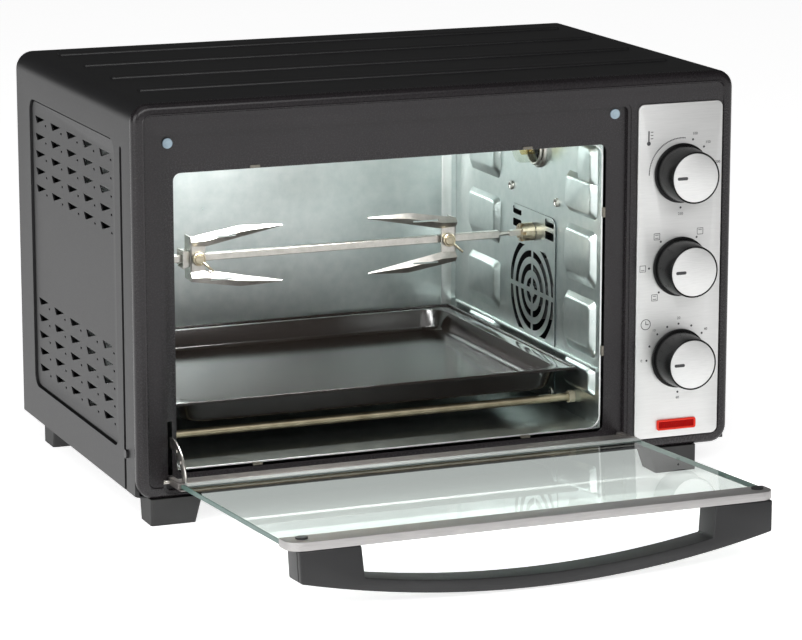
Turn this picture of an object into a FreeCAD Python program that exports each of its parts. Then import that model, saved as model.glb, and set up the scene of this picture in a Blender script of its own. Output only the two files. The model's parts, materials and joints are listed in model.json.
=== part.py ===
"""Countertop rotisserie oven: sheet-metal body, drop-down glass door, spit, tray and controls.

Everything is drawn from the body's left side (x = 0), its front seam (y = 0) and its
underside (z = 0), with the door open as it stands in use. At the end the whole oven is
moved so that the origin is the middle of its footprint, on the surface under the feet.
"""
import FreeCAD, Part
import math
import os
from FreeCAD import Vector

# Driving dimensions, millimetres
WIDTH = 500.0            # body, left to right
DEPTH = 306.0            # front seam to back
HEIGHT = 302.3           # underside to top, without the feet
FOOT_HEIGHT = 22.0
SHEET = 1.0              # casing sheet
LINER = 0.8              # cavity sheet
CORNER = 14.0            # casing corner radius

FRAME_FRONT = -8.0       # front face of the bezel
FRAME_BOTTOM = -1.4
FRAME_SHEET = 1.2
RECESS = ((22.9, 408.0), (4.0, 278.0))      # the pocket that the door closes into, x and z
RECESS_FLOOR = -1.0
MOUTH = ((32.6, 388.7), (19.2, 247.7))      # the clear way into the cavity, x and z

CAVITY_X = (32.0, 389.4)
CAVITY_Z = (18.6, 266.0)
CAVITY_BACK = 296.0
PAD_DEPTH = 6.0          # how far the pressed pads stand out of the side walls

SPIT_Y = 132.0
SPIT_Z = 155.0
FAN_Z = 105.0
ROD_SIDE = 6.0           # the spit's square section
FORK_FACE = 124.5        # front face of the forks' flange
FORK_LEFT_X = 88.5
FORK_RIGHT_X = 316.5

KNOB_X = 454.0
KNOB_Z = {"thermostat": 222.5, "function": 147.0, "timer": 72.0}
PANEL = ((416.3, 489.9), (7.5, 278.6))
LENS = ((436.0, 470.3), (13.5, 22.0))

HINGE_Y = -7.4
HINGE_Z = 11.5
DOOR_X = (27.0, 406.0)
DOOR_LENGTH = 262.0      # hinge line to the door's free edge
DOOR_RISE = 3.5          # degrees that the open door stands above level
DOOR_CORNER = 12.0       # radius of the door's two free corners
GLASS = (-1.4, 2.6)      # the glass's outer and inner face, from the hinge line

TRAY_X = (39.2, 382.2)
TRAY_Y = (28.0, 293.0)
TRAY_RIM = 61.5
TRAY_DEPTH = 18.0

SLIDE_FIT = 0.05         # radial clearance of the running fits
SNUG = 0.02              # clearance between pieces pressed or clamped together

os.makedirs("parts", exist_ok=True)
parts = {}


# Helpers
AXES = {"x": Vector(1, 0, 0), "y": Vector(0, 1, 0), "z": Vector(0, 0, 1)}


def edges_along(solid, axis):
    """The straight edges of a solid that run along one axis."""
    def runs_along(edge):
        return abs(edge.tangentAt(edge.FirstParameter).dot(AXES[axis])) > 0.999999
    return [edge for edge in solid.Edges if runs_along(edge)]


def block(x, y, z, radius=0.0, along="z"):
    """A box between limits on each axis, its edges along one axis rounded."""
    solid = Part.makeBox(x[1] - x[0], y[1] - y[0], z[1] - z[0], Vector(x[0], y[0], z[0]))
    if radius:
        solid = solid.makeFillet(radius, edges_along(solid, along))
    return solid


def rod(axis, start, length, radius):
    """A round bar from a start point along an axis; a negative length runs backwards."""
    direction = AXES[axis] * math.copysign(1.0, length)
    return Part.makeCylinder(radius, abs(length), Vector(*start), direction)


def cone(axis, start, length, radius_start, radius_end):
    direction = AXES[axis] * math.copysign(1.0, length)
    return Part.makeCone(radius_start, radius_end, abs(length), Vector(*start), direction)


def rounded_loop(corner_low, corner_high, radius, height):
    """A level rounded rectangle at a height, as a wire."""
    (x0, y0), (x1, y1) = corner_low, corner_high
    plate = block((x0, x1), (y0, y1), (height, height + 1.0), radius)
    face = min(plate.Faces, key=lambda f: f.CenterOfMass.z)
    return face.OuterWire


def sheet_outline(points, axis, start, thickness):
    """A flat plate: a closed polygon in the plane across an axis, thickened along it."""
    place = {"x": lambda a, b: Vector(start, a, b), "y": lambda a, b: Vector(a, start, b)}[axis]
    corners = [place(a, b) for a, b in points]
    face = Part.Face(Part.makePolygon(corners + corners[:1]))
    return face.extrude(AXES[axis] * thickness)


def grown(limits, by):
    return limits[0] - by, limits[1] + by


# Casing
REAR_SCREWS = [(x, z) for x in (8.0, WIDTH - 8.0) for z in (40.0, 150.0, 260.0)]
GLAND = (448.0, 40.0)


def side_pockets(depth, extra):
    """The long shallow pockets pressed into both sides, as tools to take away."""
    y, z = grown((40.0, 268.0), extra), grown((30.0, 275.0), extra)
    left = block((-1.0, depth), y, z, 10.0, "x")
    right = block((WIDTH - depth, WIDTH + 1.0), y, z, 10.0, "x")
    return [left, right]


def louvre_slots():
    """Two fields of five columns of air slots in each side pocket."""
    slots = []
    for wall in (-1.0, WIDTH - 6.0):
        for column in range(5):
            y = 258.0 - 33.0 - column * 43.7
            for base, pitch in ((197.0, 14.2), (47.0, 14.0)):
                for row in range(5):
                    z = base + row * pitch
                    slots.append(block((wall, wall + 7.0), (y, y + 30.0), (z, z + 3.5)))
    return slots


def outer_shell():
    outside = block((0, WIDTH), (0.3, DEPTH - 1.3), (0, HEIGHT + 20))
    outside = outside.common(block((0, WIDTH), (0, DEPTH), (-40, HEIGHT), CORNER, "y"))
    outside = outside.cut(side_pockets(2.0, 0.0))
    inside = block((SHEET, WIDTH - SHEET), (-1, DEPTH - 2.3), (-60, HEIGHT - SHEET), CORNER - SHEET, "y")
    inside = inside.cut(side_pockets(2.0 + SHEET, SHEET))
    back_opening = block((12, WIDTH - 12), (DEPTH - 4, DEPTH), (-60, HEIGHT - 14), 8.0, "y")
    shell = outside.cut([inside, back_opening]).cut(louvre_slots())
    holes = [rod("x", (x, 18.6, 29.9), 4.0, 1.8) for x in (-1.0, WIDTH - 3.0)]
    holes += [rod("y", (x, DEPTH - 5, z), 6.0, 1.8) for x, z in REAR_SCREWS]
    return shell.cut(holes)


def rear_cover():
    plate = block((4.6, WIDTH - 4.6), (DEPTH - 1.2, DEPTH), (1.0, HEIGHT - 4.6), 10.0, "y")
    slots = []
    for row in range(6):
        z = 190.0 + row * 12.0
        for x in (150.0, 210.0, 270.0, 410.0):
            slots.append(block((x, x + 40.0), (DEPTH - 3, DEPTH + 1), (z, z + 4.0), 1.9, "y"))
    holes = [rod("y", (x, DEPTH - 4, z), 6.0, 1.8) for x, z in REAR_SCREWS]
    holes.append(rod("y", (GLAND[0], DEPTH - 4, GLAND[1]), 6.0, 6.0))
    return plate.cut(slots + holes)


FOOT_X = (10.0, 51.5)
RIGHT_FOOT_INSET = 18.0
FOOT_Y = {"front": (-8.0, 22.0), "rear": (250.0, 280.0)}


def foot(side, end):
    """A moulded foot, upright on its two outer faces and drawn in on its inner ones."""
    top_x, top_y = FOOT_X, FOOT_Y[end]
    bottom_x = (top_x[0], top_x[1] - 5.5)
    bottom_y = (top_y[0], top_y[1] - 4.0) if end == "front" else (top_y[0] + 4.0, top_y[1])
    if side == "right":
        top_x, bottom_x = [tuple(WIDTH - RIGHT_FOOT_INSET - value for value in pair[::-1])
                           for pair in (top_x, bottom_x)]
    top = rounded_loop((top_x[0], top_y[0]), (top_x[1], top_y[1]), 2.0, FRAME_BOTTOM)
    bottom = rounded_loop((bottom_x[0], bottom_y[0]), (bottom_x[1], bottom_y[1]), 2.0, -FOOT_HEIGHT)
    return Part.makeLoft([bottom, top], True, True)


parts["outer_shell"] = outer_shell()
parts["rear_cover"] = rear_cover()
parts["base_pan"] = block((2.0, WIDTH - 2.0), (0.4, DEPTH - 1.6), (FRAME_BOTTOM, -0.2), 6.0)
for end in ("front", "rear"):
    for side in ("left", "right"):
        parts[f"foot_{end}_{side}"] = foot(side, end)


# Bezel
STAY_X = (27.2, 28.7)
FRAME_SCREWS = [(28.9, 271.3), (398.7, 271.8)]


def front_frame():
    outside = block((0, WIDTH), (FRAME_FRONT, 0), (FRAME_BOTTOM, HEIGHT), CORNER, "y")
    rim = [edge for edge in outside.Edges if edge.BoundBox.YMax < FRAME_FRONT + 0.01]
    outside = outside.makeFillet(6.0, rim)
    pocket_x, pocket_z = RECESS
    pocket = block(pocket_x, (-20, RECESS_FLOOR), pocket_z, 4.0, "y")
    inside = block(grown((0, WIDTH), -FRAME_SHEET), (FRAME_FRONT + FRAME_SHEET, 5),
                   (FRAME_BOTTOM + FRAME_SHEET, HEIGHT - FRAME_SHEET), CORNER - FRAME_SHEET, "y")
    pocket_back = block(grown(pocket_x, FRAME_SHEET), (-20, 6), grown(pocket_z, FRAME_SHEET), 5.2, "y")
    frame = outside.cut(pocket).cut(inside.cut(pocket_back))
    mouth = block((31.4, 392.0), (-5, 5), (15.5, 251.0), 11.0, "y")
    stay_slot = block((26.2, 29.8), (-5, 5), (15.0, 57.0), 1.5, "y")
    holes = [rod("y", (x, -5, z), 10.0, 2.0) for x, z in FRAME_SCREWS]
    holes += [rod("y", (KNOB_X, -12, z), 10.0, 5.0) for z in KNOB_Z.values()]
    holes.append(block(grown(LENS[0], -0.7), (-12, -4), grown(LENS[1], -0.7), 1.5, "y"))
    holes += [rod("x", (x, HINGE_Y, HINGE_Z), 5.0, 1.5 + SLIDE_FIT) for x in (19.0, 407.0)]
    return frame.cut([mouth, stay_slot] + holes)


parts["front_frame"] = front_frame()
parts["frame_screws"] = Part.makeCompound([
    rod("y", (x, RECESS_FLOOR, z), -1.8, 4.0).fuse(rod("y", (x, RECESS_FLOOR, z), 5.0, 1.8))
    for x, z in FRAME_SCREWS])


# Cavity
ROWS = {"rear": [(41.0, 66.4), (74.0, 117.0), (131.0, 172.0), (187.0, 246.0)],
        "front": [(41.0, 66.4), (72.0, 119.7), (128.0, 175.2), (184.5, 246.0)]}
COLUMNS = {"rear": (199.5, 264.0), "front": (8.5, 66.0)}


def pressed_pad(wall_x, inward, y, z):
    """A pressed pad: wide at the wall and narrower at its flat face."""
    def loop(limits_y, limits_z, x):
        corners = [(limits_y[i], limits_z[j]) for i, j in ((0, 0), (1, 0), (1, 1), (0, 1))]
        return Part.makePolygon([Vector(x, a, b) for a, b in corners + corners[:1]])
    base = loop(y, z, wall_x)
    face = loop(grown(y, -PAD_DEPTH), grown(z, -PAD_DEPTH), wall_x + inward * PAD_DEPTH)
    return Part.makeLoft([base, face], True, True)


def side_wall(wall_x, inward):
    outer = wall_x - inward * LINER
    wall = block(sorted((wall_x, outer)), (1.1, CAVITY_BACK + LINER), (CAVITY_Z[0] - LINER, CAVITY_Z[1] + LINER))
    pads = [pressed_pad(wall_x, inward, COLUMNS[name], row) for name in COLUMNS for row in ROWS[name]]
    return wall.fuse(pads).removeSplitter()


def liner_wrap():
    outside = block(grown(CAVITY_X, -0.2), (1.1, CAVITY_BACK + LINER), grown(CAVITY_Z, LINER))
    return outside.cut(block(grown(CAVITY_X, 5), (-5, CAVITY_BACK), CAVITY_Z))


def fan_cover():
    """A slotted plate over the fan, with the hole that the spit's drive comes through."""
    x = (CAVITY_X[1] - 0.9, CAVITY_X[1] - 0.1)
    plate = block(x, (86.5, 178.0), (22.0, 172.5), 8.0, "x")
    cuts = [rod("x", (x[0] - 1, SPIT_Y, SPIT_Z), 5.0, 6.5)]
    for y in (89.5, 154.5):
        for z in (153.5, 164.0):
            cuts.append(block((x[0] - 1, x[1] + 1), (y, y + 17.0), (z, z + 6.5), 1.5, "x"))
    bridges = [block((x[0] - 2, x[1] + 2), (SPIT_Y - 60, SPIT_Y + 60), (FAN_Z - 2, FAN_Z + 2)),
               block((x[0] - 2, x[1] + 2), (SPIT_Y - 2, SPIT_Y + 2), (FAN_Z - 60, FAN_Z + 60))]
    inset = block((x[0] - 1, x[1] + 1), (89.5, 175.0), (FAN_Z - 36.0, FAN_Z + 36.0))
    for radius in (5.5, 17.0, 28.0, 39.0):
        ring = rod("x", (x[0] - 1, SPIT_Y, FAN_Z), 3.0, radius + 5.4)
        ring = ring.cut(rod("x", (x[0] - 1, SPIT_Y, FAN_Z), 3.0, radius))
        cuts += ring.cut(bridges).common(inset).Solids
    return plate.cut(cuts)


def mouth_flange():
    ring = block((29.6, 394.0), (0.1, 0.9), (13.5, 253.0), 4.0, "y")
    return ring.cut(block(MOUTH[0], (-1, 2), MOUTH[1], 9.0, "y"))


parts["cavity_flange"] = mouth_flange()
parts["liner_wrap"] = liner_wrap()
left_wall = side_wall(CAVITY_X[0], 1)
parts["liner_left_wall"] = left_wall.cut(rod("x", (20, SPIT_Y, SPIT_Z), 20.0, 5.0 + SNUG))
right_wall = side_wall(CAVITY_X[1], -1)
LAMP = (122.0, 228.0)
parts["liner_right_wall"] = right_wall.cut([
    rod("x", (385, SPIT_Y, FAN_Z), 10.0, 30.0), rod("x", (380, SPIT_Y, SPIT_Z), 15.0, 6.5),
    rod("x", (380, LAMP[0], LAMP[1]), 15.0, 12.0)])
parts["fan_cover"] = fan_cover()
CLIPS = ([(x, z, "level") for x in (98.5, 324.0) for z in (17.4, 249.4)]
         + [(x, z, "upright") for x in (390.4,) for z in (81.6, 193.7)])


def clip(x, z, way):
    half = (4.0, 1.0) if way == "level" else (1.0, 4.0)
    return block((x - half[0], x + half[0]), (-1.9, 0.05), (z - half[1], z + half[1]), 0.6, "y")


parts["mouth_clips"] = Part.makeCompound([clip(*place) for place in CLIPS])


# Fan and its motor
def fan_impeller():
    hub = rod("x", (397.0, SPIT_Y, FAN_Z), 9.0, 6.0)
    disc = rod("x", (405.0, SPIT_Y, FAN_Z), 1.0, 26.0)
    blades = []
    for step in range(8):
        blade = block((397.0, 405.5), (SPIT_Y - 0.5, SPIT_Y + 0.5), (FAN_Z + 5.0, FAN_Z + 25.0))
        blade.rotate(Vector(0, SPIT_Y, FAN_Z), AXES["x"], 45.0 * step)
        blades.append(blade)
    shaft = rod("x", (406.0, SPIT_Y, FAN_Z), 16.0, 2.5)
    return hub.fuse([disc, shaft] + blades).removeSplitter()


fan_case = rod("x", (410.0, SPIT_Y, FAN_Z), 30.0, 21.0)
parts["fan_impeller"] = fan_impeller()
parts["fan_motor"] = fan_case.cut(rod("x", (409.0, SPIT_Y, FAN_Z), 14.0, 2.5 + SLIDE_FIT))


# Spit and its drive
def spit_rod():
    side = ROD_SIDE / 2
    bar = block((44.0, 357.0), (SPIT_Y - side, SPIT_Y + side), (SPIT_Z - side, SPIT_Z + side), 0.6, "x")
    journal = rod("x", (33.0, SPIT_Y, SPIT_Z), 12.0, 2.5)
    neck = rod("x", (356.0, SPIT_Y, SPIT_Z), 12.0, 1.7)
    tang_half = 2.2
    tang = block((367.0, 385.0), (SPIT_Y - tang_half, SPIT_Y + tang_half),
                 (SPIT_Z - tang_half, SPIT_Z + tang_half))
    return bar.fuse([journal, neck, tang]).removeSplitter()


def drive_socket():
    cup = rod("x", (377.0, SPIT_Y, SPIT_Z), 11.0, 7.5)
    shaft = rod("x", (387.0, SPIT_Y, SPIT_Z), 37.0, 4.0)
    half = 2.2 + SLIDE_FIT
    hollow = block((370.0, 386.0), (SPIT_Y - half, SPIT_Y + half), (SPIT_Z - half, SPIT_Z + half))
    notches = []
    for step in range(6):
        notch = block((376.0, 379.5), (SPIT_Y - 1.3, SPIT_Y + 1.3), (SPIT_Z + 4.0, SPIT_Z + 9.0))
        notch.rotate(Vector(0, SPIT_Y, SPIT_Z), AXES["x"], 60.0 * step + 30.0)
        notches.append(notch)
    return cup.fuse(shaft).cut([hollow] + notches)


parts["spit_rod"] = spit_rod()
parts["drive_socket"] = drive_socket()
gearbox = block((410.0, 436.0), (SPIT_Y - 26.0, SPIT_Y + 26.0), (SPIT_Z - 26.0, SPIT_Z + 26.0), 5.0, "x")
parts["spit_motor"] = gearbox.cut(rod("x", (409.0, SPIT_Y, SPIT_Z), 16.0, 4.0 + SLIDE_FIT))
bush = rod("x", (31.2, SPIT_Y, SPIT_Z), 8.0, 5.0).fuse(rod("x", (32.1, SPIT_Y, SPIT_Z), 7.0, 7.5))
parts["spit_bearing"] = bush.cut(rod("x", (32.4, SPIT_Y, SPIT_Z), 12.0, 2.5 + SLIDE_FIT))


# One half of a fork's flat outline, from the hub outwards: along the spit, and across it
TINE = [(0.0, 17.8), (41.7, 24.5), (77.0, 22.8), (41.0, 15.5), (13.0, 10.0)]
FORK_SHEET = 1.2


def fork(hub_x, reach):
    """A pressed fork: a hub plate across the spit and a flange drawn out into two tines."""
    half = [(hub_x + reach * along, across) for along, across in TINE]
    outline = [(x, SPIT_Z + across) for x, across in half]
    outline += [(x, SPIT_Z - across) for x, across in half[::-1]]
    flange = sheet_outline(outline, "y", FORK_FACE, FORK_SHEET)
    hub_limits = sorted((hub_x, hub_x + reach * FORK_SHEET))
    hub = block(hub_limits, (FORK_FACE, FORK_FACE + 15.0), (SPIT_Z - 17.8, SPIT_Z + 17.8))
    ribs = []
    for sign in (1, -1):
        lip = [(TINE[0][0], TINE[0][1]), TINE[1], TINE[2], (TINE[2][0], TINE[2][1] - 1.0),
               (TINE[1][0], TINE[1][1] - FORK_SHEET), (TINE[0][0], TINE[0][1] - FORK_SHEET)]
        points = [(hub_x + reach * along, SPIT_Z + sign * across) for along, across in lip]
        ribs.append(sheet_outline(points, "y", FORK_FACE, 6.5))
    fork_body = flange.fuse([hub] + ribs).removeSplitter()
    half_hole = ROD_SIDE / 2 + SLIDE_FIT
    hole = block((hub_x - 5, hub_x + 5), (SPIT_Y - half_hole, SPIT_Y + half_hole),
                 (SPIT_Z - half_hole, SPIT_Z + half_hole))
    screw_hole = rod("y", (hub_x + reach * 6.5, FORK_FACE - 1, SPIT_Z), 5.0, 2.0 + SLIDE_FIT)
    return fork_body.cut([hole, screw_hole])


def fork_screw(x):
    """A thumb screw whose tip bears on the spit, with a bent wire for a handle."""
    shank = rod("y", (x, SPIT_Y - ROD_SIDE / 2 - 0.05, SPIT_Z), -6.5, 2.0)
    collar = rod("y", (x, FORK_FACE - 0.2, SPIT_Z), -5.0, 4.0)
    lever = rod("x", (x, FORK_FACE - 3.0, SPIT_Z), 14.0, 1.0)
    lever.rotate(Vector(x, FORK_FACE - 3.0, SPIT_Z), AXES["y"], 42.0)
    return shank.fuse([collar, lever]).removeSplitter()


parts["spit_fork_left"] = fork(FORK_LEFT_X, 1)
parts["spit_fork_right"] = fork(FORK_RIGHT_X, -1)
parts["fork_screw_left"] = fork_screw(FORK_LEFT_X + 6.5)
parts["fork_screw_right"] = fork_screw(FORK_RIGHT_X - 6.5)


# Lamp
lamp_ring = rod("x", (389.2, LAMP[0], LAMP[1]), -7.0, 17.0).cut(rod("x", (390.0, LAMP[0], LAMP[1]), -9.0, 13.2))
parts["lamp_collar"] = lamp_ring
dome = rod("x", (389.2, LAMP[0], LAMP[1]), -20.0, 13.0).fuse(cone("x", (369.2, LAMP[0], LAMP[1]), -6.0, 13.0, 7.0))
dome_inside = rod("x", (390.0, LAMP[0], LAMP[1]), -20.0, 11.0)
parts["lamp_glass"] = dome.cut(dome_inside)
parts["lamp_bulb"] = rod("x", (400.0, LAMP[0], LAMP[1]), -26.0, 6.5)


# Heaters
LOWER_HEATERS = [(50.0, 33.2), (236.0, 33.2)]
UPPER_HEATERS = [(50.0, 254.0), (236.0, 254.0)]


def heater_pair(places):
    return Part.makeCompound([rod("x", (33.5, y, z), 354.4, 3.3) for y, z in places])


def insulators(places):
    solids = []
    for y, z in places:
        for x, length in ((32.3, 5.0), (389.1, -5.0)):
            ring = rod("x", (x, y, z), length, 4.8)
            solids.append(ring.cut(rod("x", (x + length * 0.2, y, z), length, 3.3 + SNUG)))
    return solids


parts["lower_heaters"] = heater_pair(LOWER_HEATERS)
parts["upper_heaters"] = heater_pair(UPPER_HEATERS)
parts["heater_insulators"] = Part.makeCompound(insulators(LOWER_HEATERS + UPPER_HEATERS))


# Controls
PANEL_FACE = FRAME_FRONT - 0.8
panel = block(PANEL[0], (PANEL_FACE, FRAME_FRONT), PANEL[1], 5.0, "y")
shaft_holes = [rod("y", (KNOB_X, -12, z), 10.0, 5.0) for z in KNOB_Z.values()]
lens_hole = block(grown(LENS[0], -0.7), (-12, -4), grown(LENS[1], -0.7), 1.5, "y")
parts["control_panel"] = panel.cut(shaft_holes + [lens_hole])
bracket = block((417.0, 489.0), (4.0, 5.2), (30.0, 262.0), 4.0, "y")
parts["control_bracket"] = bracket.cut([rod("y", (KNOB_X, 0, z), 10.0, 5.0) for z in KNOB_Z.values()])

KNOB_BACK = PANEL_FACE - 0.5
KNOB_LENGTH = 26.0
KNOB_FRONT = KNOB_BACK - KNOB_LENGTH
CONTROL_BODIES = {"thermostat": (40.0, 24.0), "function": (44.0, 26.0), "timer": (46.0, 40.0)}
for name, z in KNOB_Z.items():
    side, depth = CONTROL_BODIES[name]
    case = block((KNOB_X - side / 2, KNOB_X + side / 2), (5.3, 5.3 + depth), (z - side / 2, z + side / 2), 3.0, "y")
    parts[f"{name}_unit"] = case.cut(rod("y", (KNOB_X, 5, z), 8.0, 3.0 + SLIDE_FIT))
    shaft_start = KNOB_FRONT + 8.0
    parts[f"{name}_shaft"] = rod("y", (KNOB_X, shaft_start, z), 12.0 - shaft_start, 3.0)
    skirt = rod("y", (KNOB_X, KNOB_BACK, z), -2.0, 24.0)
    grip = cone("y", (KNOB_X, KNOB_BACK - 2.0, z), -(KNOB_LENGTH - 2.0), 22.4, 20.5)
    face_pocket = rod("y", (KNOB_X, KNOB_FRONT - 1, z), 1.6, 19.4 + SNUG)
    shaft_bore = rod("y", (KNOB_X, shaft_start - 0.3, z), 40.0, 3.0 + SNUG)
    knob = skirt.fuse(grip).removeSplitter()
    parts[f"{name}_knob"] = knob.cut([face_pocket, shaft_bore])
    parts[f"{name}_knob_cap"] = rod("y", (KNOB_X, KNOB_FRONT, z), 0.55, 19.4)

lens_head = block(LENS[0], (PANEL_FACE - 1.2, PANEL_FACE), LENS[1], 2.0, "y")
lens_stem = block(grown(LENS[0], -0.8), (PANEL_FACE, -5.0), grown(LENS[1], -0.8), 1.3, "y")
parts["indicator_lens"] = lens_head.fuse(lens_stem).removeSplitter()
lens_centre = [sum(limits) / 2 for limits in LENS]
parts["indicator_lamp"] = rod("y", (lens_centre[0], -4.6, lens_centre[1]), 20.0, 3.0)


# Door, drawn lying flat: y is minus the distance from the hinge, z is towards its inner face
def door_block(x, along, across, radius=0.0, round_along="z"):
    limits_y = (HINGE_Y - along[1], HINGE_Y - along[0])
    limits_z = (HINGE_Z + across[0], HINGE_Z + across[1])
    return block(x, limits_y, limits_z, radius, round_along)


def swing_to_rest(solid):
    """Turn a flat-drawn door piece to where the open door stands."""
    solid.rotate(Vector(0, HINGE_Y, HINGE_Z), AXES["x"], -DOOR_RISE)
    return solid


def door_point(x, along, across):
    return Vector(x, HINGE_Y - along, HINGE_Z + across)


DOOR_SCREW_X = (40.0, 397.0)
DOOR_SCREW_ALONG = 249.0
HANDLE_X = (33.5, 403.0)
HANDLE_ALONG = (236.0, 262.0)


def door_holes(radius, start, length):
    return [Part.makeCylinder(radius, length, door_point(x, DOOR_SCREW_ALONG, start)) for x in DOOR_SCREW_X]


def bottom_profile():
    bar = door_block((24.5, 406.4), (0.0, 27.0), (-2.4, 3.6))
    bar = bar.fuse(rod("x", (24.5, HINGE_Y, HINGE_Z), 381.9, 3.8)).removeSplitter()
    channel = door_block((20, 410), (21.5, 30.0), (GLASS[0] - 0.05, GLASS[1] + 0.05))
    lightening = door_block((20, 410), (6.0, 20.3), (-1.4, 2.6))
    bores = [rod("x", (x, HINGE_Y, HINGE_Z), 12.0, 1.5 + SNUG) for x in (23.0, 396.0)]
    return bar.cut([channel, lightening] + bores)


def round_free_corners(solid):
    """Round the two upright edges at the door's free end."""
    free_end = solid.BoundBox.YMin
    corners = [edge for edge in edges_along(solid, "z") if edge.BoundBox.YMax < free_end + 0.01]
    return solid.makeFillet(DOOR_CORNER, corners)


def top_trim():
    bar = round_free_corners(door_block(DOOR_X, (239.0, DOOR_LENGTH), (-2.4, 3.6)))
    channel = door_block((20, 410), (220.0, DOOR_LENGTH - 1.2), (GLASS[0] - 0.05, GLASS[1] + 0.05))
    return bar.cut([channel] + door_holes(2.2, -5.0, 12.0))


def arc_through(first, middle, last):
    return Part.Arc(first, middle, last).toShape()


def handle():
    """A bow across the door's outer face: two broad posts and a bar that arches away."""
    start = HINGE_Y - HANDLE_ALONG[1]
    middle_x = sum(HANDLE_X) / 2

    def at(x, drop):
        return Vector(x, start, HINGE_Z - drop)
    seat = 2.45
    post, end_drop, throat_drop = 46.5, 25.5, 26.5
    left, right = HANDLE_X
    edges = [
        Part.LineSegment(at(left, seat), at(left + 0.8, end_drop)).toShape(),
        arc_through(at(left + 0.8, end_drop), at(middle_x, 47.2), at(right - 0.8, end_drop)),
        Part.LineSegment(at(right - 0.8, end_drop), at(right, seat)).toShape(),
        Part.LineSegment(at(right, seat), at(right - post, seat)).toShape(),
        Part.LineSegment(at(right - post, seat), at(right - post - 2, throat_drop)).toShape(),
        arc_through(at(right - post - 2, throat_drop), at(middle_x, 37.6), at(left + post + 2, throat_drop)),
        Part.LineSegment(at(left + post + 2, throat_drop), at(left + post, seat)).toShape(),
        Part.LineSegment(at(left + post, seat), at(left, seat)).toShape()]
    bow = Part.Face(Part.Wire(edges)).extrude(Vector(0, HANDLE_ALONG[1] - HANDLE_ALONG[0], 0))
    return bow.cut(door_holes(1.5 + SNUG, -15.0, 14.0))


def handle_screws():
    screws = []
    for x in DOOR_SCREW_X:
        head = Part.makeCylinder(4.5, 1.6, door_point(x, DOOR_SCREW_ALONG, 3.6))
        shank = Part.makeCylinder(1.5, 17.0, door_point(x, DOOR_SCREW_ALONG, -13.4))
        screws.append(head.fuse(shank).removeSplitter())
    return Part.makeCompound(screws)


def stay():
    """A quarter plate that stands on the door and slides into the frame as the door shuts."""
    def polar(radius, angle):
        turn = math.radians(angle)
        return Vector(STAY_X[0], HINGE_Y - radius * math.cos(turn), HINGE_Z + radius * math.sin(turn))
    inner, outer, foot_angle, end_angle = 25.5, 34.0, 9.0, 100.0
    middle = (foot_angle + end_angle) / 2
    edges = [
        arc_through(polar(outer, foot_angle), polar(outer, middle), polar(outer, end_angle)),
        Part.LineSegment(polar(outer, end_angle), polar(inner, end_angle)).toShape(),
        arc_through(polar(inner, end_angle), polar(inner, middle), polar(inner, foot_angle)),
        Part.LineSegment(polar(inner, foot_angle), polar(outer, foot_angle)).toShape()]
    plate = Part.Face(Part.Wire(edges)).extrude(Vector(STAY_X[1] - STAY_X[0], 0, 0))
    return plate.cut(door_block((20, 40), (0, 60), (-5, 3.65)))


door_glass = round_free_corners(door_block(DOOR_X, (22.0, DOOR_LENGTH - 1.6), GLASS))
door_pieces = {
    "door_glass": door_glass.cut(door_holes(3.0, -5.0, 12.0)),
    "door_bottom_profile": bottom_profile(),
    "door_top_trim": top_trim(),
    "door_handle": handle(),
    "handle_screws": handle_screws(),
    "door_stay": stay(),
}
for name, piece in door_pieces.items():
    parts[name] = swing_to_rest(piece)
parts["hinge_pins"] = Part.makeCompound([
    rod("x", (20.2, HINGE_Y, HINGE_Z), 14.0, 1.5), rod("x", (396.7, HINGE_Y, HINGE_Z), 14.0, 1.5)])


# Return spring of the stay, in the gap beside the cavity
def stay_spring():
    coil = rod("y", (16.0, 50.0, 20.0), 60.0, 5.0).cut(rod("y", (16.0, 49.0, 20.0), 62.0, 3.6))
    return coil


parts["stay_spring"] = stay_spring()


# Tray
def baking_tray():
    def loop(inset_x, inset_y, radius, height):
        x, y = grown(TRAY_X, -inset_x), grown(TRAY_Y, -inset_y)
        return rounded_loop((x[0], y[0]), (x[1], y[1]), radius, height)
    sheet = 0.8
    floor = TRAY_RIM - TRAY_DEPTH
    outside = Part.makeLoft([loop(15.5, 11.5, 15.0, floor), loop(10.0, 6.0, 20.0, TRAY_RIM)], True, True)
    inside = Part.makeLoft([loop(15.5 + sheet, 11.5 + sheet, 14.2, floor + sheet),
                            loop(10.0 + sheet, 6.0 + sheet, 19.2, TRAY_RIM + 0.01)], True, True)
    rim = block(TRAY_X, TRAY_Y, (TRAY_RIM - sheet, TRAY_RIM), 3.0)
    return rim.fuse(outside).removeSplitter().cut(inside)


parts["baking_tray"] = baking_tray()


# Back and side fixings
def gland():
    x, z = GLAND
    flange = rod("y", (x, DEPTH + 0.05, z), 4.0, 9.0)
    neck = rod("y", (x, DEPTH + 4.0, z), 10.0, 6.0)
    stem = rod("y", (x, DEPTH + 1.0, z), -8.0, 6.0 - SNUG)
    return flange.fuse([neck, stem]).removeSplitter().cut(rod("y", (x, DEPTH - 10, z), 30.0, 3.6))


def case_screw(axis, start, outward):
    """A pan-head sheet-metal screw that stands on a surface, its shank going in."""
    head = rod(axis, start, 1.8 * outward, 3.4)
    return head.fuse(rod(axis, start, -5.0 * outward, 1.7)).removeSplitter()


parts["cord_gland"] = gland()
screws = [case_screw("y", (x, DEPTH + 0.02, z), 1) for x, z in REAR_SCREWS]
screws += [case_screw("x", (-0.02, 18.6, 29.9), -1), case_screw("x", (WIDTH + 0.02, 18.6, 29.9), 1)]
parts["case_screws"] = Part.makeCompound(screws)


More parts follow.
